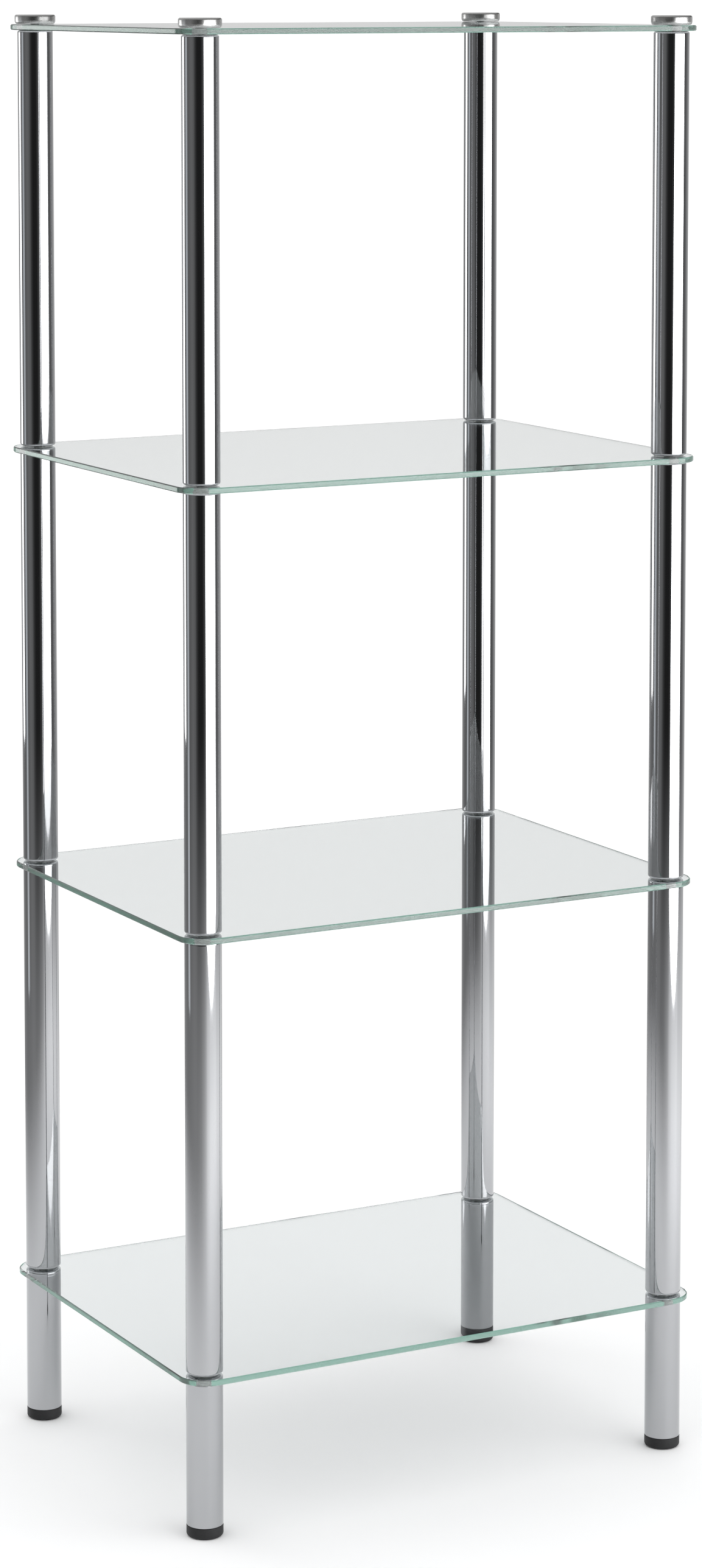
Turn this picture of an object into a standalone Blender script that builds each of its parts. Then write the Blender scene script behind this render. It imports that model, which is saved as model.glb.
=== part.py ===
"""Four-tier glass shelving unit on chrome tube posts.

Metres, +Z up. The unit stands on z = 0, centred on the Z axis, with its wide side facing -Y.
Each corner is a stack held together by threaded studs: foot, leg tube, then a glass shelf, a washer
and a tube for every tier, and a screw cap on the top shelf.
"""

import math

import bmesh
import bpy

# Shelves
SHELF_WIDTH = 0.400
SHELF_DEPTH = 0.300
SHELF_PITCH = 0.300
BOTTOM_SHELF_HEIGHT = 0.112
GLASS_THICKNESS = 0.004
GLASS_CORNER_RADIUS = 0.020
GLASS_ARRIS = 0.0007

# Posts
POST_INSET = 0.018
TUBE_DIAMETER = 0.025
TUBE_WALL = 0.001
TUBE_END_RADIUS = 0.0015
END_PLUG_LENGTH = 0.014

# Studs and washers
STUD_DIAMETER = 0.006
STUD_CHAMFER = 0.0006
STUD_ENGAGEMENT = 0.012
GLASS_HOLE_CLEARANCE = 0.0005
THREAD_CLEARANCE = 0.0003
WASHER_THICKNESS = 0.0003
WASHER_RIM_SETBACK = 0.0004

# Screw caps
CAP_DIAMETER = 0.0288
CAP_HEIGHT = 0.0065
CAP_TOP_RADIUS = 0.0014
CAP_FOOT_SETBACK = 0.0015
CAP_FOOT_RISE = 0.0026
CAP_ROOF = 0.0017
CAP_RECESS_CLEARANCE = 0.0003

# Feet
FOOT_HEIGHT = 0.008
FOOT_EDGE_RADIUS = 0.0024
FOOT_SOLE = 0.005
FOOT_STEM_LENGTH = 0.016
FOOT_STEM_WALL = 0.002
FOOT_BARB_COUNT = 3
FOOT_BARB_DEPTH = 0.0006
FOOT_STEM_CLEARANCE = 0.0002

# Gap between two pieces that press together
SEAT_GAP = 0.0002

# Facets
CORNER_SEGMENTS = 8
TUBE_SEGMENTS = 18
TUBE_END_SEGMENTS = 2
CAP_SEGMENTS = 20
CAP_ARC_SEGMENTS = 2
FOOT_ARC_SEGMENTS = 2
STUD_SEGMENTS = 10
WASHER_SEGMENTS = 12
HOLE_SEGMENTS = 16
MERGE_DISTANCE = 1e-6
SMOOTH_ANGLE = math.radians(35)

# Sizes that follow from those above
TUBE_RADIUS = TUBE_DIAMETER / 2
TUBE_BORE_RADIUS = TUBE_RADIUS - TUBE_WALL
STUD_RADIUS = STUD_DIAMETER / 2
THREAD_RADIUS = STUD_RADIUS + THREAD_CLEARANCE
GLASS_HOLE_RADIUS = STUD_RADIUS + GLASS_HOLE_CLEARANCE
WASHER_RADIUS = TUBE_RADIUS - TUBE_END_RADIUS - WASHER_RIM_SETBACK
WASHER_SEAT = SEAT_GAP + WASHER_THICKNESS + SEAT_GAP
POST_TUBE_LENGTH = SHELF_PITCH - GLASS_THICKNESS - WASHER_SEAT - SEAT_GAP
LEG_BASE = FOOT_HEIGHT + SEAT_GAP
LEG_LENGTH = BOTTOM_SHELF_HEIGHT - GLASS_THICKNESS - SEAT_GAP - LEG_BASE
CAP_RECESS_DEPTH = WASHER_SEAT - SEAT_GAP
CAP_HOLE_DEPTH = CAP_HEIGHT - CAP_ROOF
POST_X = SHELF_WIDTH / 2 - POST_INSET
POST_Y = SHELF_DEPTH / 2 - POST_INSET

TIERS = ("bottom", "lower", "upper", "top")
POST_TUBES = ("lower", "middle", "upper")
CORNERS = {
    "front_left": (-POST_X, -POST_Y),
    "front_right": (POST_X, -POST_Y),
    "back_left": (-POST_X, POST_Y),
    "back_right": (POST_X, POST_Y),
}


def shelf_height(tier):
    """Height of a shelf's top face, counted from the bottom shelf."""
    return BOTTOM_SHELF_HEIGHT + tier * SHELF_PITCH


def clear_scene():
    for thing in list(bpy.data.objects):
        bpy.data.objects.remove(thing, do_unlink=True)


def material(name, colour, metallic, roughness, transmission=0.0):
    made = bpy.data.materials.new(name)
    made.use_nodes = True
    made.diffuse_color = (*colour, 1.0)
    shader = made.node_tree.nodes["Principled BSDF"]
    shader.inputs["Base Color"].default_value = (*colour, 1.0)
    shader.inputs["Metallic"].default_value = metallic
    shader.inputs["Roughness"].default_value = roughness
    shader.inputs["Transmission Weight"].default_value = transmission
    return made


def arc(centre, radii, start, end, segments):
    """Points of an elliptical arc in the (radius, height) plane, angles in degrees."""
    points = []
    for step in range(segments + 1):
        angle = math.radians(start + (end - start) * step / segments)
        across = centre[0] + radii[0] * math.cos(angle)
        up = centre[1] + radii[1] * math.sin(angle)
        points.append((across, up))
    return points


def finished_mesh(name, shape, finish):
    """Turns a bmesh into a smooth-shaded mesh with one material."""
    bmesh.ops.recalc_face_normals(shape, faces=shape.faces)
    mesh = bpy.data.meshes.new(name)
    shape.to_mesh(mesh)
    shape.free()
    mesh.materials.append(finish)
    mesh.shade_smooth()
    mesh.set_sharp_from_angle(angle=SMOOTH_ANGLE)
    return mesh


def turned_mesh(name, profile, segments, finish, closed):
    """Turns (radius, height) points about Z. A closed profile is a ring, an open one ends on the axis."""
    shape = bmesh.new()
    corners = [shape.verts.new((radius, 0.0, height)) for radius, height in profile]
    ends = corners[1:] + corners[:1] if closed else corners[1:]
    edges = [shape.edges.new(pair) for pair in zip(corners, ends)]
    bmesh.ops.spin(
        shape,
        geom=corners + edges,
        cent=(0.0, 0.0, 0.0),
        axis=(0.0, 0.0, 1.0),
        angle=math.tau,
        steps=segments,
        use_merge=True,
    )
    bmesh.ops.remove_doubles(shape, verts=shape.verts, dist=MERGE_DISTANCE)
    return finished_mesh(name, shape, finish)


def tube_end(height, inward):
    """Outline of a tube's closed end, from its threaded hole out to the tube wall."""
    centre = (TUBE_RADIUS - TUBE_END_RADIUS, height + inward * TUBE_END_RADIUS)
    radii = (TUBE_END_RADIUS, inward * TUBE_END_RADIUS)
    return [(THREAD_RADIUS, height)] + arc(centre, radii, -90, 0, TUBE_END_SEGMENTS)


def post_tube_mesh(finish):
    """Tube with both ends rounded in and closed by threaded plugs, standing on z = 0."""
    bottom = tube_end(0.0, 1)
    top = tube_end(POST_TUBE_LENGTH, -1)
    inside = [
        (THREAD_RADIUS, POST_TUBE_LENGTH - END_PLUG_LENGTH),
        (TUBE_BORE_RADIUS, POST_TUBE_LENGTH - END_PLUG_LENGTH),
        (TUBE_BORE_RADIUS, END_PLUG_LENGTH),
        (THREAD_RADIUS, END_PLUG_LENGTH),
    ]
    return turned_mesh("post_tube", bottom + top[::-1] + inside, TUBE_SEGMENTS, finish, closed=True)


def leg_tube_mesh(finish):
    """Tube with a threaded plug at the top and an open end for the foot, standing on z = 0."""
    bottom = [(TUBE_BORE_RADIUS, 0.0), (TUBE_RADIUS, 0.0)]
    top = tube_end(LEG_LENGTH, -1)
    inside = [
        (THREAD_RADIUS, LEG_LENGTH - END_PLUG_LENGTH),
        (TUBE_BORE_RADIUS, LEG_LENGTH - END_PLUG_LENGTH),
    ]
    return turned_mesh("leg_tube", bottom + top[::-1] + inside, TUBE_SEGMENTS, finish, closed=True)


def stud_mesh(name, length, finish):
    """Threaded rod with chamfered ends, standing on z = 0."""
    neck = STUD_RADIUS - STUD_CHAMFER
    profile = [
        (0.0, 0.0),
        (neck, 0.0),
        (STUD_RADIUS, STUD_CHAMFER),
        (STUD_RADIUS, length - STUD_CHAMFER),
        (neck, length),
        (0.0, length),
    ]
    return turned_mesh(name, profile, STUD_SEGMENTS, finish, closed=False)


def washer_mesh(finish):
    """Flat ring that keeps metal off the glass, lying on z = 0."""
    profile = [
        (GLASS_HOLE_RADIUS, 0.0),
        (WASHER_RADIUS, 0.0),
        (WASHER_RADIUS, WASHER_THICKNESS),
        (GLASS_HOLE_RADIUS, WASHER_THICKNESS),
    ]
    return turned_mesh("washer", profile, WASHER_SEGMENTS, finish, closed=True)


def cap_mesh(finish):
    """Low round cap, drawn in towards its foot, with a recess for the washer and a blind hole for the stud."""
    radius = CAP_DIAMETER / 2
    recess_radius = WASHER_RADIUS + CAP_RECESS_CLEARANCE
    foot_radii = (CAP_FOOT_SETBACK, CAP_FOOT_RISE)
    top_radii = (CAP_TOP_RADIUS, CAP_TOP_RADIUS)
    foot = arc((radius - CAP_FOOT_SETBACK, CAP_FOOT_RISE), foot_radii, -90, 0, CAP_ARC_SEGMENTS)
    top = arc((radius - CAP_TOP_RADIUS, CAP_HEIGHT - CAP_TOP_RADIUS), top_radii, 0, 90, CAP_ARC_SEGMENTS)
    inside = [
        (0.0, CAP_HOLE_DEPTH),
        (THREAD_RADIUS, CAP_HOLE_DEPTH),
        (THREAD_RADIUS, CAP_RECESS_DEPTH),
        (recess_radius, CAP_RECESS_DEPTH),
        (recess_radius, 0.0),
    ]
    profile = inside + foot + top + [(0.0, CAP_HEIGHT)]
    return turned_mesh("screw_cap", profile, CAP_SEGMENTS, finish, closed=False)


def foot_mesh(finish):
    """Moulded foot as wide as the tube, with a hollow barbed stem that pushes up into it."""
    barb_radius = TUBE_BORE_RADIUS - FOOT_STEM_CLEARANCE
    root_radius = barb_radius - FOOT_BARB_DEPTH
    core_radius = root_radius - FOOT_STEM_WALL
    stem_top = FOOT_HEIGHT + FOOT_STEM_LENGTH
    barb_step = FOOT_STEM_LENGTH / (FOOT_BARB_COUNT + 1)
    edge_centre = (TUBE_RADIUS - FOOT_EDGE_RADIUS, FOOT_EDGE_RADIUS)
    edge_radii = (FOOT_EDGE_RADIUS, FOOT_EDGE_RADIUS)
    sole = [(0.0, 0.0)] + arc(edge_centre, edge_radii, -90, 0, FOOT_ARC_SEGMENTS)
    shoulder = [(TUBE_RADIUS, FOOT_HEIGHT), (root_radius, FOOT_HEIGHT)]
    barbs = []
    for barb in range(1, FOOT_BARB_COUNT + 1):
        barb_base = FOOT_HEIGHT + barb * barb_step
        barbs += [(barb_radius, barb_base), (root_radius, barb_base + barb_step)]
    core = [(core_radius, stem_top), (core_radius, FOOT_SOLE), (0.0, FOOT_SOLE)]
    return turned_mesh("foot", sole + shoulder + barbs + core, TUBE_SEGMENTS, finish, closed=False)


def shelf_mesh(finish):
    """Glass pane with rounded corners, its top face at z = 0."""
    shape = bmesh.new()
    bmesh.ops.create_grid(shape, x_segments=1, y_segments=1, size=0.5)
    bmesh.ops.scale(shape, vec=(SHELF_WIDTH, SHELF_DEPTH, 1.0), verts=shape.verts)
    bmesh.ops.bevel(
        shape,
        geom=shape.verts[:],
        affect="VERTICES",
        offset=GLASS_CORNER_RADIUS,
        offset_type="OFFSET",
        segments=CORNER_SEGMENTS,
        profile=0.5,
    )
    pulled = bmesh.ops.extrude_face_region(shape, geom=shape.faces[:])
    underside = [part for part in pulled["geom"] if isinstance(part, bmesh.types.BMVert)]
    bmesh.ops.translate(shape, vec=(0.0, 0.0, -GLASS_THICKNESS), verts=underside)
    return finished_mesh("glass_shelf", shape, finish)


def hole_drill():
    """Cutter for the stud holes of every shelf: one long rod on each post axis."""
    shape = bmesh.new()
    length = shelf_height(len(TIERS))
    for x, y in CORNERS.values():
        rod = bmesh.ops.create_cone(
            shape,
            cap_ends=True,
            segments=HOLE_SEGMENTS,
            radius1=GLASS_HOLE_RADIUS,
            radius2=GLASS_HOLE_RADIUS,
            depth=length,
        )
        bmesh.ops.translate(shape, vec=(x, y, length / 2), verts=rod["verts"])
    mesh = bpy.data.meshes.new("hole_drill")
    shape.to_mesh(mesh)
    shape.free()
    drill = bpy.data.objects.new("hole_drill", mesh)
    drill.hide_render = True
    drill.display_type = "WIRE"
    bpy.context.collection.objects.link(drill)
    return drill


def place(name, mesh, parent, location):
    piece = bpy.data.objects.new(name, mesh)
    piece.parent = parent
    piece.location = location
    bpy.context.collection.objects.link(piece)
    return piece


def add_shelves(unit, finish):
    mesh = shelf_mesh(finish)
    drill = hole_drill()
    drill.parent = unit
    for tier, tier_name in enumerate(TIERS):
        shelf = place(f"glass_shelf_{tier_name}", mesh, unit, (0.0, 0.0, shelf_height(tier)))
        edge = shelf.modifiers.new("ground_edge", "BEVEL")
        edge.width = GLASS_ARRIS
        edge.segments = 1
        edge.limit_method = "ANGLE"
        holes = shelf.modifiers.new("stud_holes", "BOOLEAN")
        holes.operation = "DIFFERENCE"
        holes.object = drill


def add_post(unit, corner, position, meshes):
    """Stacks one corner's pieces on an axis, each with its origin on that axis."""
    axis = place(f"post_{corner}", None, unit, (*position, 0.0))

    def stack(name, mesh, height):
        place(f"{name}_{corner}", meshes[mesh], axis, (0.0, 0.0, height))

    stack("foot", "foot", 0.0)
    stack("leg_tube", "leg_tube", LEG_BASE)
    for tier, tier_name in enumerate(TIERS):
        top_face = shelf_height(tier)
        stack(f"{tier_name}_washer", "washer", top_face + SEAT_GAP)
        stud_base = top_face - GLASS_THICKNESS - SEAT_GAP - STUD_ENGAGEMENT
        if tier < len(POST_TUBES):
            stack(f"{tier_name}_stud", "joining_stud", stud_base)
            stack(f"{POST_TUBES[tier]}_tube", "post_tube", top_face + WASHER_SEAT)
        else:
            stack("cap_stud", "cap_stud", stud_base)
            stack("screw_cap", "screw_cap", top_face + SEAT_GAP)


def build_unit():
    clear_scene()
    chrome = material("chrome", (0.78, 0.79, 0.80), 1.0, 0.06)
    glass = material("shelf_glass", (0.86, 0.93, 0.90), 0.0, 0.02, transmission=1.0)
    satin = material("satin_metal", (0.66, 0.65, 0.64), 1.0, 0.28)
    zinc = material("zinc_plate", (0.62, 0.63, 0.62), 1.0, 0.35)
    clear = material("clear_plastic", (0.90, 0.91, 0.91), 0.0, 0.25, transmission=0.8)
    black = material("black_plastic", (0.025, 0.025, 0.028), 0.0, 0.5)

    through = GLASS_THICKNESS + SEAT_GAP + STUD_ENGAGEMENT
    joining_stud_length = through + WASHER_SEAT + STUD_ENGAGEMENT
    cap_stud_length = through + CAP_HOLE_DEPTH
    meshes = {
        "post_tube": post_tube_mesh(chrome),
        "leg_tube": leg_tube_mesh(chrome),
        "joining_stud": stud_mesh("joining_stud", joining_stud_length, zinc),
        "cap_stud": stud_mesh("cap_stud", cap_stud_length, zinc),
        "washer": washer_mesh(clear),
        "screw_cap": cap_mesh(satin),
        "foot": foot_mesh(black),
    }
    unit = place("shelving_unit", None, None, (0.0, 0.0, 0.0))
    add_shelves(unit, glass)
    for corner, position in CORNERS.items():
        add_post(unit, corner, position, meshes)


build_unit()
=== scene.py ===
"""Looks of the glass shelving unit: fine shapes, materials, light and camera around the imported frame.

Metres, +Z up, in the same place as the solids.
"""

import math

import bmesh
import bpy
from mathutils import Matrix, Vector


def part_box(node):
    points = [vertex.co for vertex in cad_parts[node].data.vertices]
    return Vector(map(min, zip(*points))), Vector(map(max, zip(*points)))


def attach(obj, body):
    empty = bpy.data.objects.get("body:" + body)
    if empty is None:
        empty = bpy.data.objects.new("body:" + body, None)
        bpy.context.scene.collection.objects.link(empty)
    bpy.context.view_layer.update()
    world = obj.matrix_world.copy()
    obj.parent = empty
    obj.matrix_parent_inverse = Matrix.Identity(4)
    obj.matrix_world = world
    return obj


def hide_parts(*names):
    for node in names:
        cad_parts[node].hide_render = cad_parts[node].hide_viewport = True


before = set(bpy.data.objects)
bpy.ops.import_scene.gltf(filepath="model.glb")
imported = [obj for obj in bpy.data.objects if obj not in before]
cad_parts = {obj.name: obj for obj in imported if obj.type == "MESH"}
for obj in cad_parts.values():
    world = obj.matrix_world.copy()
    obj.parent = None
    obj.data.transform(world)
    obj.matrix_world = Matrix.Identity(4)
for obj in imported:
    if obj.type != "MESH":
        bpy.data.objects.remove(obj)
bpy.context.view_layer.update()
scene = bpy.context.scene

# Names of the solids
CORNERS = ("front_left", "front_right", "back_left", "back_right")
SHELVES = ("bottom", "lower", "upper", "top")
POST_TUBES = ("lower", "middle", "upper")
JOINING_STUDS = ("bottom", "lower", "upper")

# Details that the boxes of the solids do not tell
TUBE_WALL = 0.001
TUBE_END_RADIUS = 0.0015
END_PLUG_LENGTH = 0.014
PLUG_SEAM_INSET = 0.0006
PLUG_SEAM_DEPTH = 0.0004
LEG_LIP_RADIUS = 0.0003
STRAIGHT_MARGIN = 0.0004
GLASS_CORNER_RADIUS = 0.020
GLASS_ARRIS = 0.0007
GLASS_HOLE_CLEARANCE = 0.0005
THREAD_CLEARANCE = 0.0003
THREAD_PITCH = 0.001
THREAD_DEPTH = 0.00061
THREAD_CREST_FLAT = 0.12
THREAD_ROOT_FLAT = 0.2
STUD_CHAMFER = 0.0006
WASHER_EDGE_RADIUS = 0.00012
CAP_TOP_RADIUS = 0.0014
CAP_FOOT_SETBACK = 0.0015
CAP_FOOT_RISE = 0.0026
CAP_ROOF = 0.0017
CAP_RECESS_CLEARANCE = 0.0003
CAP_RECESS_DEPTH = 0.0005
FOOT_HEIGHT = 0.008
FOOT_EDGE_RADIUS = 0.0024
FOOT_SOLE = 0.005
FOOT_SOLE_RECESS = 0.0008
FOOT_SOLE_RIM = 0.0032
FOOT_SHOULDER_RADIUS = 0.0003
FOOT_STEM_WALL = 0.002
FOOT_BARB_COUNT = 3
FOOT_BARB_DEPTH = 0.0006
FOOT_STEM_CLEARANCE = 0.0002

# Fineness
TUBE_SEGMENTS = 96
CAP_SEGMENTS = 96
FOOT_SEGMENTS = 96
WASHER_SEGMENTS = 64
STUD_SEGMENTS = 32
ROWS_PER_TURN = 10
PANE_RAYS = 96
ARC_STEPS = 10
SMALL_ARC_STEPS = 4
ON_AXIS = 1e-7
SHARP_ANGLE = math.radians(32)
FLAT_FACE = 0.95

# Share of the glass surface that grinding has left dull
GROUND_NAME = "ground"
GROUND_FACE = 0.0
GROUND_EDGE = 0.055
GROUND_HOLE = 0.75

# Finishes: colours and roughness as pairs that a noise goes between, and the noises by the metre
EVEN = (1.0, 1.0, 1.0)
NOISE_MIDDLE = (0.3, 0.7)
CHROME_COLOURS = ((0.42, 0.428, 0.445), (0.46, 0.465, 0.475))
CHROME_ROUGHNESS = (0.025, 0.055)
CHROME_HAZE = {"scale": 14.0, "detail": 3.0}
CHROME_STREAKS = {"scale": 240.0, "detail": 2.0}
ALONG_TUBE = (1.0, 1.0, 0.03)
GLASS_IOR = 1.52
GLASS_COLOURS = ((0.90, 0.915, 0.92), (0.92, 0.96, 0.94))
GLASS_GRAIN = {"scale": 900.0, "detail": 3.0}
GLASS_GRAIN_SHARES = (0.75, 1.25)
GLASS_GROUND_ROUGHNESS = 2.0
GLASS_SMUDGES = {"scale": 11.0, "detail": 4.0}
GLASS_SMUDGE_ROUGHNESS = (0.0, 0.008)
GLASS_DEPTH_COLOUR = (0.30, 0.66, 0.55, 1.0)
GLASS_DEPTH_DENSITY = 5.5
SATIN_COLOURS = ((0.53, 0.53, 0.525), (0.61, 0.61, 0.605))
SATIN_ROUGHNESS = (0.23, 0.31)
SATIN_CLOUDS = {"scale": 160.0, "detail": 4.0}
SATIN_RING_SCALE = 900.0
SATIN_RING_DISTORTION = 0.6
SATIN_BUMP = {"strength": 0.06, "distance": 0.00003}
ZINC_COLOURS = ((0.50, 0.51, 0.52), (0.66, 0.65, 0.60))
ZINC_ROUGHNESS = (0.28, 0.42)
ZINC_CLOUDS = {"scale": 350.0, "detail": 4.0}
ZINC_BUMP = {"strength": 0.08, "distance": 0.00003}
WASHER_COLOUR = (0.96, 0.97, 0.97, 1.0)
WASHER_IOR = 1.47
WASHER_ROUGHNESS = (0.08, 0.22)
WASHER_HAZE = {"scale": 400.0, "detail": 3.0}
FOOT_COLOURS = ((0.010, 0.010, 0.011), (0.022, 0.022, 0.023))
FOOT_SPECULAR_LEVEL = 0.25
FOOT_ROUGHNESS = (0.46, 0.6)
FOOT_CLOUDS = {"scale": 120.0, "detail": 3.0}
FOOT_GRAIN = {"scale": 2600.0, "detail": 3.0}
FOOT_BUMP = {"strength": 0.25, "distance": 0.00005}

# Camera
CAMERA_PLACE = (-1.3821, -2.5693, 1.0443)
CAMERA_TURN = math.radians(-28.29)
CAMERA_PITCH = math.radians(-5.26)
CAMERA_LENS = 95.36
CAMERA_SENSOR = 36.0
CAMERA_SHIFT = -0.27

# Floor
FLOOR_RADIUS = 1.3
FLOOR_FADE = (0.45, 1.2)
FLOOR_SEGMENTS = 128
FLOOR_COLOUR = (0.92, 0.922, 0.925, 1.0)
FLOOR_ROUGHNESS = 0.7

# Directions in the studio
UP = Vector((0.0, 0.0, 1.0))
TOWARD_CAMERA = Vector((CAMERA_PLACE[0], CAMERA_PLACE[1], 0.0)).normalized()
CAMERA_RIGHT = Vector((-TOWARD_CAMERA.y, TOWARD_CAMERA.x, 0.0))
FULL_TURN = 360.0
AHEAD_SHARE = 0.5

# Softboxes between bearings in degrees from the camera, positive to its right
STUDIO_DISTANCE = 3.2
SOFTBOX_TOP = 1.1
WHITE = (1.0, 1.0, 1.0)
PALE_BLUE = (0.90, 0.95, 1.0)
SOFTBOXES = (
    {"name": "key_softbox", "from": 22.0, "to": 87.0, "foot": -0.42, "radiance": 5.0, "colour": WHITE},
    {"name": "rim_softbox", "from": -129.0, "to": -109.0, "foot": -0.05, "radiance": 3.0, "colour": WHITE},
    {"name": "strip_light", "from": -96.0, "to": -81.0, "foot": -0.42, "radiance": 0.6, "colour": PALE_BLUE},
)

# Light of the walls and of the lit floor at such bearings
STUDIO_WALLS = (
    (-180.0, 0.88),
    (-150.0, 0.62),
    (-132.0, 0.36),
    (-100.0, 0.24),
    (-76.0, 0.24),
    (-55.0, 0.31),
    (-40.0, 0.25),
    (-32.0, 0.12),
    (-24.0, 0.054),
    (-16.0, 0.03),
    (5.0, 0.03),
    (12.0, 0.07),
    (19.0, 0.145),
    (26.0, 0.55),
    (83.0, 0.55),
    (88.0, 0.20),
    (105.0, 0.22),
    (123.0, 0.46),
    (140.0, 0.70),
    (180.0, 0.88),
)
LIT_FLOOR = (
    (-180.0, 0.55),
    (-106.0, 0.45),
    (-35.0, 0.56),
    (-11.0, 0.72),
    (11.0, 1.15),
    (30.0, 1.90),
    (47.0, 2.35),
    (80.0, 2.60),
    (122.0, 2.20),
    (180.0, 0.55),
)

# Where each light of the studio sets in and is full, as the sine of the angle above the horizon
FAR_FLOOR_HEIGHTS = (-0.175, -0.305)
NEAR_FLOOR_HEIGHTS = (-0.31, -0.42)
NEAR_FLOOR_SHARE = 0.65
CEILING_HEIGHTS = (0.12, 0.30)
CEILING_LIGHT = 0.12
ZENITH_HEIGHTS = (0.34, 0.62)
ZENITH_LIGHT = 0.5
HORIZON_HEIGHTS = (0.02, 0.09)
HORIZON_LIGHT = 0.12
SKY_LIGHT = 1.1
FLOOR_LIGHT = 1.2

# Soft lamp overhead, with the cosines of the angles from its middle where it sets in and is full
OVERHEAD_BEARING = -140.0
OVERHEAD_TILT = math.radians(40)
OVERHEAD_SPREAD = (math.cos(math.radians(62)), math.cos(math.radians(25)))
OVERHEAD_LIGHT = 0.75

# Light that the panes carry to their green edges, by the sine of its angle from the horizon
EDGE_LIGHTS = (
    (0.02, 0.12),
    (0.09, 0.65),
    (0.15, 0.65),
    (0.20, 0.20),
    (0.25, 0.20),
    (0.30, 0.85),
)

# Mirrorings on a light's way: more than a few inside a pane, or one or two on metal seen through a pane
FEW_MIRRORINGS = 2.5
ONE_OR_TWO = 1.5
ONE_OR_TWO_MARGIN = 0.6
LONGEST_PATH = 64


def box_size(node):
    """Width, depth and height of a solid."""
    low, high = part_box(node)
    return high - low


def axis_of(corner):
    """Plan position of a post, from the box of its foot."""
    low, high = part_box(f"foot_{corner}")
    return ((low.x + high.x) / 2, (low.y + high.y) / 2)


post_axes = {corner: axis_of(corner) for corner in CORNERS}

tube_radius = box_size("upper_tube_front_left").x / 2
post_tube_length = box_size("upper_tube_front_left").z
leg_length = box_size("leg_tube_front_left").z
stud_radius = box_size("cap_stud_front_left").x / 2
washer_radius = box_size("top_washer_front_left").x / 2
washer_thickness = box_size("top_washer_front_left").z
cap_radius = box_size("screw_cap_front_left").x / 2
cap_height = box_size("screw_cap_front_left").z
foot_length = box_size("foot_front_left").z
shelf_size = box_size("glass_shelf_top")
tube_bore_radius = tube_radius - TUBE_WALL
thread_hole_radius = stud_radius + THREAD_CLEARANCE
glass_hole_radius = stud_radius + GLASS_HOLE_CLEARANCE
hole_setback = shelf_size.x / 2 - abs(post_axes["front_left"][0])


# Shapes

def arc(centre, radii, start, end, steps):
    """Points of an elliptical arc in the (radius, height) plane, angles in degrees."""
    points = []
    for step in range(steps + 1):
        angle = math.radians(start + (end - start) * step / steps)
        across = centre[0] + radii[0] * math.cos(angle)
        up = centre[1] + radii[1] * math.sin(angle)
        points.append((across, up))
    return points


def ring_of_points(radius, height, segments):
    """Points of a level circle about Z."""
    points = []
    for step in range(segments):
        angle = math.tau * step / segments
        points.append((radius * math.cos(angle), radius * math.sin(angle), height))
    return points


def bridge(shape, near, far):
    """Quads, or triangles at a single point, between two rings of points."""
    segments = max(len(near), len(far))
    for step in range(segments):
        after = (step + 1) % segments
        corners = (
            near[step % len(near)],
            near[after % len(near)],
            far[after % len(far)],
            far[step % len(far)],
        )
        outline = list(dict.fromkeys(corners))
        if len(outline) > 2:
            shape.faces.new(outline)


def finished(shape, name):
    """Mesh of a shape, smooth but for its sharp edges."""
    bmesh.ops.recalc_face_normals(shape, faces=shape.faces)
    mesh = bpy.data.meshes.new(name)
    shape.to_mesh(mesh)
    shape.free()
    mesh.shade_smooth()
    mesh.set_sharp_from_angle(angle=SHARP_ANGLE)
    return mesh


def turned(name, profile, segments, closed):
    """Turns (radius, height) points about Z. A closed profile is a ring, an open one ends on the axis."""
    shape = bmesh.new()
    rows = []
    for radius, height in profile:
        if radius < ON_AXIS:
            points = [(0.0, 0.0, height)]
        else:
            points = ring_of_points(radius, height, segments)
        rows.append([shape.verts.new(point) for point in points])
    following = rows[1:] + rows[:1] if closed else rows[1:]
    for near, far in zip(rows, following):
        bridge(shape, near, far)
    return finished(shape, name)


def tube_end(height, inward):
    """Outline of a tube's closed end, from its threaded hole over the plug's seam out to the wall."""
    flat_radius = tube_radius - TUBE_END_RADIUS
    seam_radius = flat_radius - PLUG_SEAM_INSET
    seam_floor = height + inward * PLUG_SEAM_DEPTH
    chamfer = THREAD_CLEARANCE
    lead_in = [
        (thread_hole_radius, height + inward * chamfer),
        (thread_hole_radius + chamfer, height),
    ]
    seam = [
        (seam_radius - PLUG_SEAM_DEPTH, height),
        (seam_radius, seam_floor),
        (seam_radius + PLUG_SEAM_DEPTH, height),
    ]
    centre = (flat_radius, height + inward * TUBE_END_RADIUS)
    rolled = arc(centre, (TUBE_END_RADIUS, inward * TUBE_END_RADIUS), -90, 0, ARC_STEPS)
    straight = (tube_radius, height + inward * (TUBE_END_RADIUS + STRAIGHT_MARGIN))
    return lead_in + seam + rolled + [straight]


def post_tube_mesh():
    """Tube with both ends rolled in and closed by threaded plugs."""
    length = post_tube_length
    bottom = tube_end(0.0, 1)
    top = tube_end(length, -1)
    inside = [
        (thread_hole_radius, length - END_PLUG_LENGTH),
        (tube_bore_radius, length - END_PLUG_LENGTH),
        (tube_bore_radius, END_PLUG_LENGTH),
        (thread_hole_radius, END_PLUG_LENGTH),
    ]
    return turned("post_tube", bottom + top[::-1] + inside, TUBE_SEGMENTS, closed=True)


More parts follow.
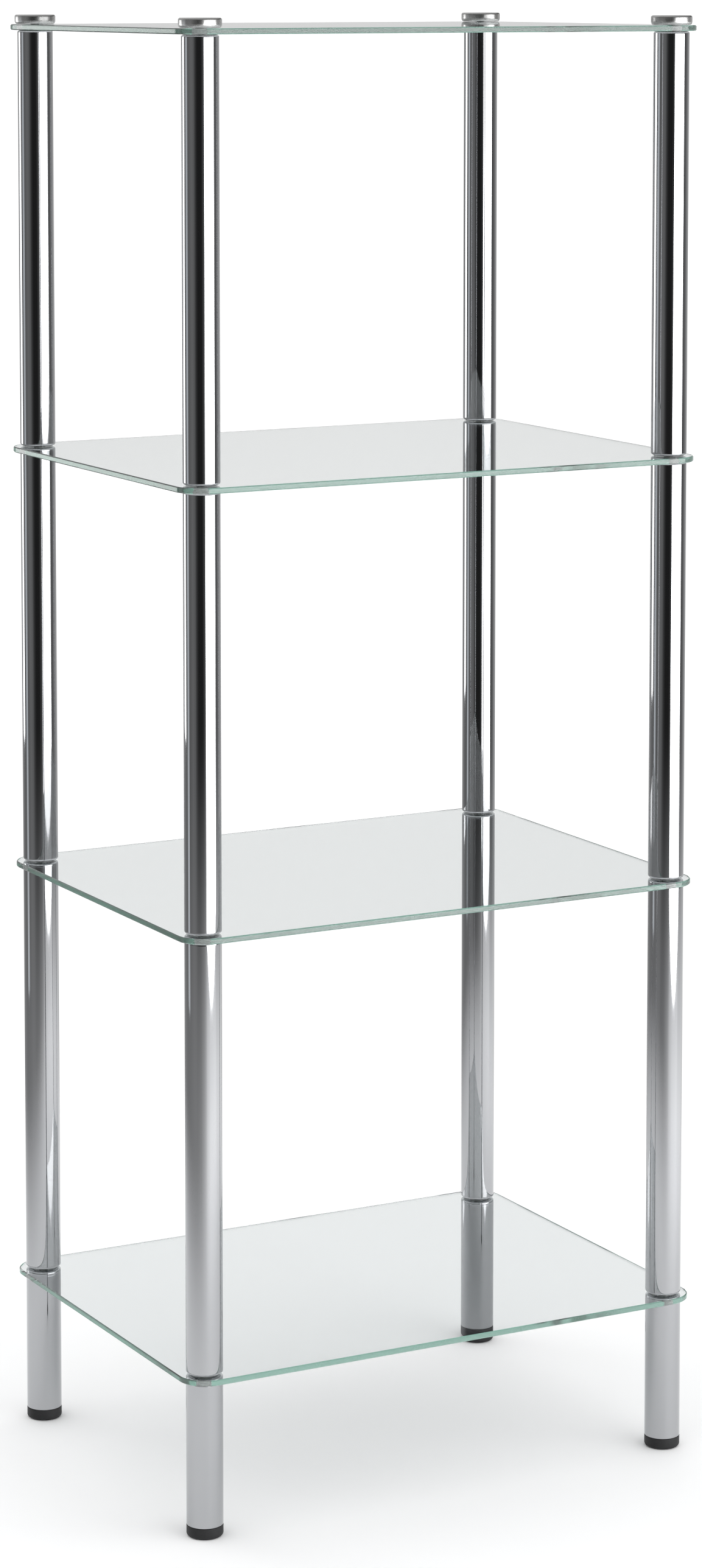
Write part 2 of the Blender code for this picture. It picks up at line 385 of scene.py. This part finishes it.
def leg_tube_mesh():
    """Tube with a threaded plug at the top and an open end that the foot pushes into."""
    lip_radii = (LEG_LIP_RADIUS, LEG_LIP_RADIUS)
    lip = arc((tube_radius - LEG_LIP_RADIUS, LEG_LIP_RADIUS), lip_radii, -90, 0, SMALL_ARC_STEPS)
    lip.append((tube_radius, LEG_LIP_RADIUS + STRAIGHT_MARGIN))
    top = tube_end(leg_length, -1)
    inside = [
        (thread_hole_radius, leg_length - END_PLUG_LENGTH),
        (tube_bore_radius, leg_length - END_PLUG_LENGTH),
        (tube_bore_radius, 0.0),
    ]
    return turned("leg_tube", lip + top[::-1] + inside, TUBE_SEGMENTS, closed=True)


def thread_radius(height, turn, length):
    """Radius of the stud's thread at a height and a share of a turn, chamfered at both ends."""
    phase = (height / THREAD_PITCH - turn) % 1.0
    ridge = abs(2.0 * phase - 1.0)
    rise = (ridge - THREAD_ROOT_FLAT) / (1.0 - THREAD_ROOT_FLAT - THREAD_CREST_FLAT)
    share = min(max(rise, 0.0), 1.0)
    to_end = min(height, length - height)
    limit = stud_radius - max(STUD_CHAMFER - to_end, 0.0)
    return min(stud_radius - THREAD_DEPTH * (1.0 - share), limit)


def stud_mesh(name, length):
    """Rod with a helical thread and chamfered ends."""
    shape = bmesh.new()
    row_count = round(length / THREAD_PITCH * ROWS_PER_TURN)
    rows = []
    for row in range(row_count + 1):
        height = length * row / row_count
        spokes = []
        for step in range(STUD_SEGMENTS):
            turn = step / STUD_SEGMENTS
            radius = thread_radius(height, turn, length)
            angle = math.tau * turn
            spokes.append(shape.verts.new((radius * math.cos(angle), radius * math.sin(angle), height)))
        rows.append(spokes)
    for near, far in zip(rows, rows[1:]):
        bridge(shape, near, far)
    shape.faces.new(rows[0])
    shape.faces.new(rows[-1])
    return finished(shape, name)


def washer_mesh():
    """Flat clear ring with softened rims."""
    radii = (WASHER_EDGE_RADIUS, WASHER_EDGE_RADIUS)
    outer = washer_radius - WASHER_EDGE_RADIUS
    inner = glass_hole_radius + WASHER_EDGE_RADIUS
    low = WASHER_EDGE_RADIUS
    high = washer_thickness - WASHER_EDGE_RADIUS
    profile = arc((outer, low), radii, -90, 0, SMALL_ARC_STEPS)
    profile += arc((outer, high), radii, 0, 90, SMALL_ARC_STEPS)
    profile += arc((inner, high), radii, 90, 180, SMALL_ARC_STEPS)
    profile += arc((inner, low), radii, 180, 270, SMALL_ARC_STEPS)
    return turned("washer", profile, WASHER_SEGMENTS, closed=True)


def cap_mesh():
    """Low round cap, drawn in towards its foot, with a recess for the washer and a hole for the stud."""
    recess_radius = washer_radius + CAP_RECESS_CLEARANCE
    foot_radii = (CAP_FOOT_SETBACK, CAP_FOOT_RISE)
    top_radii = (CAP_TOP_RADIUS, CAP_TOP_RADIUS)
    foot = arc((cap_radius - CAP_FOOT_SETBACK, CAP_FOOT_RISE), foot_radii, -90, 0, ARC_STEPS)
    top = arc((cap_radius - CAP_TOP_RADIUS, cap_height - CAP_TOP_RADIUS), top_radii, 0, 90, ARC_STEPS)
    inside = [
        (0.0, cap_height - CAP_ROOF),
        (thread_hole_radius, cap_height - CAP_ROOF),
        (thread_hole_radius, CAP_RECESS_DEPTH),
        (recess_radius, CAP_RECESS_DEPTH),
        (recess_radius, 0.0),
    ]
    return turned("screw_cap", inside + foot + top + [(0.0, cap_height)], CAP_SEGMENTS, closed=False)


def foot_mesh():
    """Moulded foot as wide as the tube, hollow under its sole, with a barbed stem inside the tube."""
    barb_radius = tube_bore_radius - FOOT_STEM_CLEARANCE
    root_radius = barb_radius - FOOT_BARB_DEPTH
    core_radius = root_radius - FOOT_STEM_WALL
    stem_length = foot_length - FOOT_HEIGHT
    barb_step = stem_length / (FOOT_BARB_COUNT + 1)
    rim_radius = tube_radius - FOOT_SOLE_RIM
    edge_radii = (FOOT_EDGE_RADIUS, FOOT_EDGE_RADIUS)
    shoulder_radii = (FOOT_SHOULDER_RADIUS, FOOT_SHOULDER_RADIUS)
    shoulder_centre = (tube_radius - FOOT_SHOULDER_RADIUS, FOOT_HEIGHT - FOOT_SHOULDER_RADIUS)
    sole = [
        (0.0, FOOT_SOLE_RECESS),
        (rim_radius - FOOT_SOLE_RECESS, FOOT_SOLE_RECESS),
        (rim_radius, 0.0),
    ]
    edge = arc((tube_radius - FOOT_EDGE_RADIUS, FOOT_EDGE_RADIUS), edge_radii, -90, 0, ARC_STEPS)
    shoulder = arc(shoulder_centre, shoulder_radii, 0, 90, SMALL_ARC_STEPS)
    barbs = [(root_radius, FOOT_HEIGHT)]
    for barb in range(1, FOOT_BARB_COUNT + 1):
        barb_base = FOOT_HEIGHT + barb * barb_step
        barbs += [(barb_radius, barb_base), (root_radius, barb_base + barb_step)]
    core = [(core_radius, foot_length), (core_radius, FOOT_SOLE), (0.0, FOOT_SOLE)]
    return turned("foot", sole + edge + shoulder + barbs + core, FOOT_SEGMENTS, closed=False)


def rim_point(turn, inset):
    """Edge of a corner's square of glass, along a ray from its hole. The pane's corner lies at 45 degrees."""
    along = Vector((math.cos(turn), math.sin(turn)))
    arc_centre = Vector((1.0, 1.0)) * (hole_setback - GLASS_CORNER_RADIUS)
    toward = along.dot(arc_centre)
    reach = toward + math.sqrt(toward ** 2 - arc_centre.length_squared + GLASS_CORNER_RADIUS ** 2)
    on_arc = along * reach
    if min(on_arc) > arc_centre.x:
        return arc_centre + (on_arc - arc_centre) * (1.0 - inset / GLASS_CORNER_RADIUS)
    on_square = along * hole_setback / max(abs(along.x), abs(along.y))
    limit = hole_setback - inset
    return Vector((min(on_square.x, limit), min(on_square.y, limit)))


def corner_rings(shape, corner, levels):
    """Rings of points up a corner's hole and up the edge of its square of glass, one on each ray."""
    x, y = post_axes[corner]
    side_x = math.copysign(1.0, x)
    side_y = math.copysign(1.0, y)
    hole_rings = []
    rim_rings = []
    for inset, height in levels:
        hole_ring = []
        rim_ring = []
        for step in range(PANE_RAYS):
            turn = math.tau * step / PANE_RAYS
            hole = Vector((math.cos(turn), math.sin(turn))) * (glass_hole_radius + inset)
            rim = rim_point(turn, inset)
            for ring, point in ((hole_ring, hole), (rim_ring, rim)):
                ring.append(shape.verts.new((x + side_x * point.x, y + side_y * point.y, height)))
        hole_rings.append(hole_ring)
        rim_rings.append(rim_ring)
    return hole_rings, rim_rings


def strip(shape, near, far):
    """Quads between two open rows of points."""
    for step in range(len(near) - 1):
        shape.faces.new((near[step], near[step + 1], far[step + 1], far[step]))


def pane_mesh(name):
    """Glass pane from z = 0 up, with rounded corners, ground arrises and four drilled holes.

    A corner's rays point out of the pane up to three eighths of a turn, and again in the last eighth.
    Those from three to five eighths meet the next corner along X, those from five to seven the one along Y.
    """
    thickness = shelf_size.z
    levels = (
        (GLASS_ARRIS, 0.0),
        (0.0, GLASS_ARRIS),
        (0.0, thickness - GLASS_ARRIS),
        (GLASS_ARRIS, thickness),
    )
    faces = (0, -1)
    eighth = PANE_RAYS // 8
    inmost = 5 * eighth
    beside_x = slice(3 * eighth, inmost + 1)
    beside_y = slice(inmost, 7 * eighth + 1)
    shape = bmesh.new()
    rims = {}
    for corner in CORNERS:
        hole_rings, rim_rings = corner_rings(shape, corner, levels)
        rims[corner] = rim_rings
        for near, far in zip(hole_rings, hole_rings[1:]):
            bridge(shape, near, far)
        outward = [ring[-eighth:] + ring[:3 * eighth + 1] for ring in rim_rings]
        for near, far in zip(outward, outward[1:]):
            strip(shape, near, far)
        for level in faces:
            bridge(shape, hole_rings[level], rim_rings[level])
    neighbours = (
        ("front_left", "front_right", beside_x),
        ("back_left", "back_right", beside_x),
        ("front_left", "back_left", beside_y),
        ("front_right", "back_right", beside_y),
    )
    for first, second, beside in neighbours:
        for level in faces:
            strip(shape, rims[first][level][beside], rims[second][level][beside])
        outer = beside.start if beside is beside_x else beside.stop - 1
        strip(shape, [ring[outer] for ring in rims[first]], [ring[outer] for ring in rims[second]])
    in_order = ("front_left", "front_right", "back_right", "back_left")
    for level in faces:
        shape.faces.new([rims[corner][level][inmost] for corner in in_order])
    mesh = finished(shape, name)
    ground = mesh.attributes.new(GROUND_NAME, "FLOAT", "FACE")
    for face in mesh.polygons:
        ground.data[face.index].value = ground_share(face)
    return mesh


def ground_share(face):
    """How dull a pane's face is: clear on the flats, polished on the rim, rough in the drilled holes."""
    if abs(face.normal.z) > FLAT_FACE:
        return GROUND_FACE
    reach = glass_hole_radius + 2 * GLASS_ARRIS
    for x, y in post_axes.values():
        if math.hypot(face.center.x - x, face.center.y - y) < reach:
            return GROUND_HOLE
    return GROUND_EDGE


# Materials

def principled(name, values):
    """New material and its shader, with the values that are the same all over."""
    made = bpy.data.materials.new(name)
    made.use_nodes = True
    shader = made.node_tree.nodes["Principled BSDF"]
    for socket, value in values.items():
        shader.inputs[socket].default_value = value
    return made, made.node_tree, shader


def object_coordinates(tree, scale=EVEN):
    """Position on the piece, stretched by a scale for each axis."""
    source = tree.nodes.new("ShaderNodeTexCoord")
    mapping = tree.nodes.new("ShaderNodeMapping")
    mapping.inputs["Scale"].default_value = scale
    tree.links.new(source.outputs["Object"], mapping.inputs["Vector"])
    return mapping.outputs["Vector"]


def noise(tree, coordinates, scale, detail):
    """Soft clouds of values between 0 and 1."""
    node = tree.nodes.new("ShaderNodeTexNoise")
    node.inputs["Scale"].default_value = scale
    node.inputs["Detail"].default_value = detail
    tree.links.new(coordinates, node.inputs["Vector"])
    return node.outputs["Fac"]


def ranged(tree, value, limits, levels, interpolation):
    """A value brought from one level to the other between its two limits."""
    node = tree.nodes.new("ShaderNodeMapRange")
    node.interpolation_type = interpolation
    node.inputs["From Min"].default_value = limits[0]
    node.inputs["From Max"].default_value = limits[1]
    node.inputs["To Min"].default_value = levels[0]
    node.inputs["To Max"].default_value = levels[1]
    tree.links.new(value, node.inputs["Value"])
    return node.outputs["Result"]


def spread(tree, value, levels):
    """A noise value, brought to a range. Most of a noise lies in its middle."""
    return ranged(tree, value, NOISE_MIDDLE, levels, "LINEAR")


def eased(tree, value, limits, levels):
    """A value brought smoothly from one level to the other between its two limits."""
    return ranged(tree, value, limits, levels, "SMOOTHSTEP")


def two_colours(tree, value, colours):
    """Colour between two others."""
    node = tree.nodes.new("ShaderNodeMix")
    node.data_type = "RGBA"
    node.inputs["A"].default_value = (*colours[0], 1.0)
    node.inputs["B"].default_value = (*colours[1], 1.0)
    tree.links.new(value, node.inputs["Factor"])
    return node.outputs["Result"]


def math_node(tree, operation, *values):
    """Result of an operation on values, each a number or another node's."""
    node = tree.nodes.new("ShaderNodeMath")
    node.operation = operation
    for socket, value in zip(node.inputs, values):
        if isinstance(value, float):
            socket.default_value = value
        else:
            tree.links.new(value, socket)
    return node.outputs["Value"]


def mixed(tree, share, first, second):
    """Two nodes' values, mixed by a share."""
    node = tree.nodes.new("ShaderNodeMix")
    tree.links.new(share, node.inputs["Factor"])
    tree.links.new(first, node.inputs["A"])
    tree.links.new(second, node.inputs["B"])
    return node.outputs["Result"]


def bump(tree, height, strength, distance):
    """Surface direction of a fine relief."""
    node = tree.nodes.new("ShaderNodeBump")
    node.inputs["Strength"].default_value = strength
    node.inputs["Distance"].default_value = distance
    tree.links.new(height, node.inputs["Height"])
    return node.outputs["Normal"]


def chrome_material():
    """Polished chrome plate: mirror bright, with a faint haze in streaks along the tube."""
    made, tree, shader = principled("chrome_plate", {"Metallic": 1.0})
    haze = noise(tree, object_coordinates(tree), **CHROME_HAZE)
    streaks = noise(tree, object_coordinates(tree, ALONG_TUBE), **CHROME_STREAKS)
    tree.links.new(two_colours(tree, haze, CHROME_COLOURS), shader.inputs["Base Color"])
    tree.links.new(spread(tree, streaks, CHROME_ROUGHNESS), shader.inputs["Roughness"])
    return made


def glass_material():
    """Float glass with a green cast in depth, ground edges and rough drilled holes."""
    made, tree, shader = principled("float_glass", {"IOR": GLASS_IOR})
    even = object_coordinates(tree)
    finish = tree.nodes.new("ShaderNodeAttribute")
    finish.attribute_name = GROUND_NAME
    grain = spread(tree, noise(tree, even, **GLASS_GRAIN), GLASS_GRAIN_SHARES)
    ground = math_node(tree, "MULTIPLY", finish.outputs["Fac"], grain)
    dull = math_node(tree, "MULTIPLY", ground, GLASS_GROUND_ROUGHNESS)
    smudges = spread(tree, noise(tree, even, **GLASS_SMUDGES), GLASS_SMUDGE_ROUGHNESS)
    tree.links.new(two_colours(tree, ground, GLASS_COLOURS), shader.inputs["Base Color"])
    tree.links.new(math_node(tree, "ADD", dull, smudges), shader.inputs["Roughness"])
    tree.links.new(math_node(tree, "SUBTRACT", 1.0, ground), shader.inputs["Transmission Weight"])
    depth = tree.nodes.new("ShaderNodeVolumeAbsorption")
    depth.inputs["Color"].default_value = GLASS_DEPTH_COLOUR
    depth.inputs["Density"].default_value = GLASS_DEPTH_DENSITY
    tree.links.new(depth.outputs["Volume"], tree.nodes["Material Output"].inputs["Volume"])
    return made


def satin_material():
    """Spun satin metal with fine turning rings."""
    made, tree, shader = principled("satin_metal", {"Metallic": 1.0})
    even = object_coordinates(tree)
    clouds = noise(tree, even, **SATIN_CLOUDS)
    rings = tree.nodes.new("ShaderNodeTexWave")
    rings.wave_type = "RINGS"
    rings.rings_direction = "Z"
    rings.inputs["Scale"].default_value = SATIN_RING_SCALE
    rings.inputs["Distortion"].default_value = SATIN_RING_DISTORTION
    tree.links.new(even, rings.inputs["Vector"])
    tree.links.new(two_colours(tree, clouds, SATIN_COLOURS), shader.inputs["Base Color"])
    tree.links.new(spread(tree, clouds, SATIN_ROUGHNESS), shader.inputs["Roughness"])
    tree.links.new(bump(tree, rings.outputs["Fac"], **SATIN_BUMP), shader.inputs["Normal"])
    return made


def zinc_material():
    """Bright zinc plate on the threaded studs."""
    made, tree, shader = principled("zinc_plate", {"Metallic": 1.0})
    clouds = noise(tree, object_coordinates(tree), **ZINC_CLOUDS)
    tree.links.new(two_colours(tree, clouds, ZINC_COLOURS), shader.inputs["Base Color"])
    tree.links.new(spread(tree, clouds, ZINC_ROUGHNESS), shader.inputs["Roughness"])
    tree.links.new(bump(tree, clouds, **ZINC_BUMP), shader.inputs["Normal"])
    return made


def washer_material():
    """Clear plastic with a faint haze."""
    values = {"Transmission Weight": 1.0, "IOR": WASHER_IOR, "Base Color": WASHER_COLOUR}
    made, tree, shader = principled("clear_plastic", values)
    haze = noise(tree, object_coordinates(tree), **WASHER_HAZE)
    tree.links.new(spread(tree, haze, WASHER_ROUGHNESS), shader.inputs["Roughness"])
    return made


def foot_material():
    """Black moulded plastic with a fine spark-eroded grain."""
    made, tree, shader = principled("black_plastic", {"Specular IOR Level": FOOT_SPECULAR_LEVEL})
    even = object_coordinates(tree)
    clouds = noise(tree, even, **FOOT_CLOUDS)
    grain = noise(tree, even, **FOOT_GRAIN)
    tree.links.new(two_colours(tree, clouds, FOOT_COLOURS), shader.inputs["Base Color"])
    tree.links.new(spread(tree, clouds, FOOT_ROUGHNESS), shader.inputs["Roughness"])
    tree.links.new(bump(tree, grain, **FOOT_BUMP), shader.inputs["Normal"])
    return made


# Pieces

def add_piece(name, mesh, material, node, body, place):
    """Puts a mesh in place of a solid, on that solid's body."""
    piece = bpy.data.objects.new(name, mesh)
    if not mesh.materials:
        mesh.materials.append(material)
    scene.collection.objects.link(piece)
    piece.location = place
    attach(piece, body)
    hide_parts(node)


def add_stacked(kind, mesh, material, node_kind, corner, body):
    """Puts a turned piece on its post's axis, at the height of the solid that it stands for."""
    node = f"{node_kind}_{corner}"
    x, y = post_axes[corner]
    place = (x, y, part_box(node)[0].z)
    add_piece(f"{kind}_{corner}", mesh, material, node, body, place)


chrome = chrome_material()
glass = glass_material()
satin = satin_material()
zinc = zinc_material()
clear_plastic = washer_material()
black_plastic = foot_material()

pane = pane_mesh("pane")
post_tube = post_tube_mesh()
leg_tube = leg_tube_mesh()
joining_stud = stud_mesh("joining_stud", box_size("lower_stud_front_left").z)
cap_stud = stud_mesh("cap_stud", box_size("cap_stud_front_left").z)
washer = washer_mesh()
screw_cap = cap_mesh()
foot = foot_mesh()

for shelf in SHELVES:
    shelf_node = f"glass_shelf_{shelf}"
    shelf_place = (0.0, 0.0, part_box(shelf_node)[0].z)
    add_piece(f"pane_{shelf}", pane, glass, shelf_node, "frame", shelf_place)

for corner in CORNERS:
    stud_body = f"rising_stud_{corner}"
    cap_body = f"turning_cap_{corner}"
    add_stacked("black_foot", foot, black_plastic, "foot", corner, "frame")
    add_stacked("chrome_leg", leg_tube, chrome, "leg_tube", corner, "frame")
    for tube in POST_TUBES:
        add_stacked(f"chrome_{tube}", post_tube, chrome, f"{tube}_tube", corner, "frame")
    for stud in JOINING_STUDS:
        add_stacked(f"thread_{stud}", joining_stud, zinc, f"{stud}_stud", corner, "frame")
    for shelf in SHELVES:
        washer_kind = f"{shelf}_washer"
        add_stacked(f"clear_{shelf}", washer, clear_plastic, washer_kind, corner, "frame")
    add_stacked("thread_cap", cap_stud, zinc, "cap_stud", corner, stud_body)
    add_stacked("satin_cap", screw_cap, satin, "screw_cap", corner, cap_body)


# Camera and studio

def add_camera():
    """Camera at the photograph's angle."""
    data = bpy.data.cameras.new("camera")
    data.lens = CAMERA_LENS
    data.sensor_width = CAMERA_SENSOR
    data.shift_y = CAMERA_SHIFT
    camera = bpy.data.objects.new("camera", data)
    camera.location = CAMERA_PLACE
    camera.rotation_euler = (math.pi / 2 + CAMERA_PITCH, 0.0, CAMERA_TURN)
    scene.collection.objects.link(camera)
    scene.camera = camera


def direction(bearing):
    """Level direction from the unit at a bearing."""
    angle = math.radians(bearing)
    return TOWARD_CAMERA * math.cos(angle) + CAMERA_RIGHT * math.sin(angle)


def add_softbox(settings):
    """Upright rectangle of light that faces the unit."""
    middle = (settings["from"] + settings["to"]) / 2
    half = math.radians(settings["to"] - settings["from"]) / 2
    light = bpy.data.lights.new(settings["name"], "AREA")
    light.shape = "RECTANGLE"
    light.size = 2 * STUDIO_DISTANCE * math.tan(half)
    light.size_y = SOFTBOX_TOP - settings["foot"]
    light.energy = settings["radiance"] * math.pi * light.size * light.size_y
    light.color = settings["colour"]
    box = bpy.data.objects.new(settings["name"], light)
    away = direction(middle)
    box.location = away * STUDIO_DISTANCE + UP * (SOFTBOX_TOP + settings["foot"]) / 2
    box.rotation_euler = (-away).to_track_quat("-Z", "Y").to_euler()
    box.visible_camera = False
    box.visible_transmission = False
    scene.collection.objects.link(box)


def add_floor():
    """Pale floor that fades out towards its rim."""
    shape = bmesh.new()
    bmesh.ops.create_circle(shape, cap_ends=True, segments=FLOOR_SEGMENTS, radius=FLOOR_RADIUS)
    mesh = bpy.data.meshes.new("floor")
    shape.to_mesh(mesh)
    shape.free()
    values = {"Base Color": FLOOR_COLOUR, "Roughness": FLOOR_ROUGHNESS}
    made, tree, shader = principled("pale_floor", values)
    reach = tree.nodes.new("ShaderNodeVectorMath")
    reach.operation = "LENGTH"
    tree.links.new(object_coordinates(tree), reach.inputs[0])
    fade = eased(tree, reach.outputs["Value"], FLOOR_FADE, (1.0, 0.0))
    tree.links.new(fade, shader.inputs["Alpha"])
    mesh.materials.append(made)
    floor = bpy.data.objects.new("floor", mesh)
    scene.collection.objects.link(floor)


def dot_with(tree, vector, fixed):
    """Length of a vector along a fixed direction."""
    node = tree.nodes.new("ShaderNodeVectorMath")
    node.operation = "DOT_PRODUCT"
    node.inputs[1].default_value = fixed
    tree.links.new(vector, node.inputs[0])
    return node.outputs["Value"]


def light_ramp(tree, share, lights):
    """Brightness between pairs of a share and its light."""
    node = tree.nodes.new("ShaderNodeValToRGB")
    stops = node.color_ramp.elements
    while len(stops) > 1:
        stops.remove(stops[-1])
    for index, (position, light) in enumerate(lights):
        stop = stops[0] if index == 0 else stops.new(position)
        stop.position = position
        stop.color = (light, light, light, 1.0)
    tree.links.new(share, node.inputs["Fac"])
    return node.outputs["Color"]


def by_share(lights):
    """Lights at bearings as lights at shares of a turn, with straight ahead in the middle."""
    return [(bearing / FULL_TURN + AHEAD_SHARE, light) for bearing, light in lights]


def room_light(tree, outward, height):
    """Strength of the studio that polished surfaces mirror: walls, lit floor and ceiling."""
    side = dot_with(tree, outward, CAMERA_RIGHT)
    ahead = dot_with(tree, outward, TOWARD_CAMERA)
    bearing = math_node(tree, "ARCTAN2", side, ahead)
    share = math_node(tree, "MULTIPLY_ADD", bearing, 1.0 / math.tau, AHEAD_SHARE)
    walls = light_ramp(tree, share, by_share(STUDIO_WALLS))
    lit_floor = light_ramp(tree, share, by_share(LIT_FLOOR))
    near_floor = eased(tree, height, NEAR_FLOOR_HEIGHTS, (1.0, NEAR_FLOOR_SHARE))
    floor = math_node(tree, "MULTIPLY", lit_floor, near_floor)
    far_floor = eased(tree, height, FAR_FLOOR_HEIGHTS, (0.0, 1.0))
    below = mixed(tree, far_floor, walls, floor)
    lamp_axis = UP * math.cos(OVERHEAD_TILT) + direction(OVERHEAD_BEARING) * math.sin(OVERHEAD_TILT)
    to_lamp = dot_with(tree, outward, lamp_axis)
    overhead = eased(tree, to_lamp, OVERHEAD_SPREAD, (CEILING_LIGHT, OVERHEAD_LIGHT))
    zenith = eased(tree, height, ZENITH_HEIGHTS, (CEILING_LIGHT, ZENITH_LIGHT))
    above = math_node(tree, "MAXIMUM", overhead, zenith)
    ceiling = eased(tree, height, CEILING_HEIGHTS, (0.0, 1.0))
    return mixed(tree, ceiling, below, above)


def sky_light(tree, path, height):
    """Strength of the white surroundings, dimmed near the horizon and in the edges of the panes."""
    level = math_node(tree, "ABSOLUTE", height)
    horizon = eased(tree, level, HORIZON_HEIGHTS, (HORIZON_LIGHT - SKY_LIGHT, 0.0))
    through = math_node(tree, "MULTIPLY", path.outputs["Is Transmission Ray"], horizon)
    scattered = math_node(tree, "MULTIPLY", path.outputs["Is Diffuse Ray"], FLOOR_LIGHT - SKY_LIGHT)
    strength = math_node(tree, "ADD", math_node(tree, "ADD", through, scattered), SKY_LIGHT)
    often = math_node(tree, "GREATER_THAN", path.outputs["Glossy Depth"], FEW_MIRRORINGS)
    guided = math_node(tree, "MULTIPLY", path.outputs["Is Transmission Ray"], often)
    edge_light = light_ramp(tree, level, EDGE_LIGHTS)
    return mixed(tree, guided, strength, edge_light)


def mirrored_share(tree, path, height):
    """1 for light that comes by a polished surface, also by one below a pane, and 0 for any other."""
    mirrored = math_node(tree, "SUBTRACT", path.outputs["Is Reflection Ray"], path.outputs["Is Diffuse Ray"])
    depth = path.outputs["Glossy Depth"]
    once_or_twice = math_node(tree, "COMPARE", depth, ONE_OR_TWO, ONE_OR_TWO_MARGIN)
    downward = math_node(tree, "LESS_THAN", height, 0.0)
    seen_below = math_node(tree, "MULTIPLY", once_or_twice, downward)
    mirrored_through = math_node(tree, "MULTIPLY", path.outputs["Is Transmission Ray"], seen_below)
    return math_node(tree, "MAXIMUM", mirrored, mirrored_through)


def add_world():
    """White surroundings, with a darker studio in what polished surfaces mirror."""
    world = bpy.data.worlds.new("studio")
    scene.world = world
    world.use_nodes = True
    world.cycles.sampling_method = "NONE"
    tree = world.node_tree
    path = tree.nodes.new("ShaderNodeLightPath")
    outward = tree.nodes.new("ShaderNodeTexCoord").outputs["Generated"]
    height = dot_with(tree, outward, UP)
    sky = tree.nodes["Background"]
    sky.inputs["Color"].default_value = (*WHITE, 1.0)
    tree.links.new(sky_light(tree, path, height), sky.inputs["Strength"])
    room = tree.nodes.new("ShaderNodeBackground")
    tree.links.new(room_light(tree, outward, height), room.inputs["Strength"])
    mix = tree.nodes.new("ShaderNodeMixShader")
    tree.links.new(mirrored_share(tree, path, height), mix.inputs["Fac"])
    tree.links.new(sky.outputs["Background"], mix.inputs[1])
    tree.links.new(room.outputs["Background"], mix.inputs[2])
    tree.links.new(mix.outputs["Shader"], tree.nodes["World Output"].inputs["Surface"])


add_camera()
for softbox in SOFTBOXES:
    add_softbox(softbox)
add_floor()
add_world()

# Light carried far enough inside the panes to show their green edges
scene.cycles.max_bounces = LONGEST_PATH
scene.cycles.glossy_bounces = LONGEST_PATH
scene.cycles.transmission_bounces = LONGEST_PATH
scene.view_settings.view_transform = "Standard"
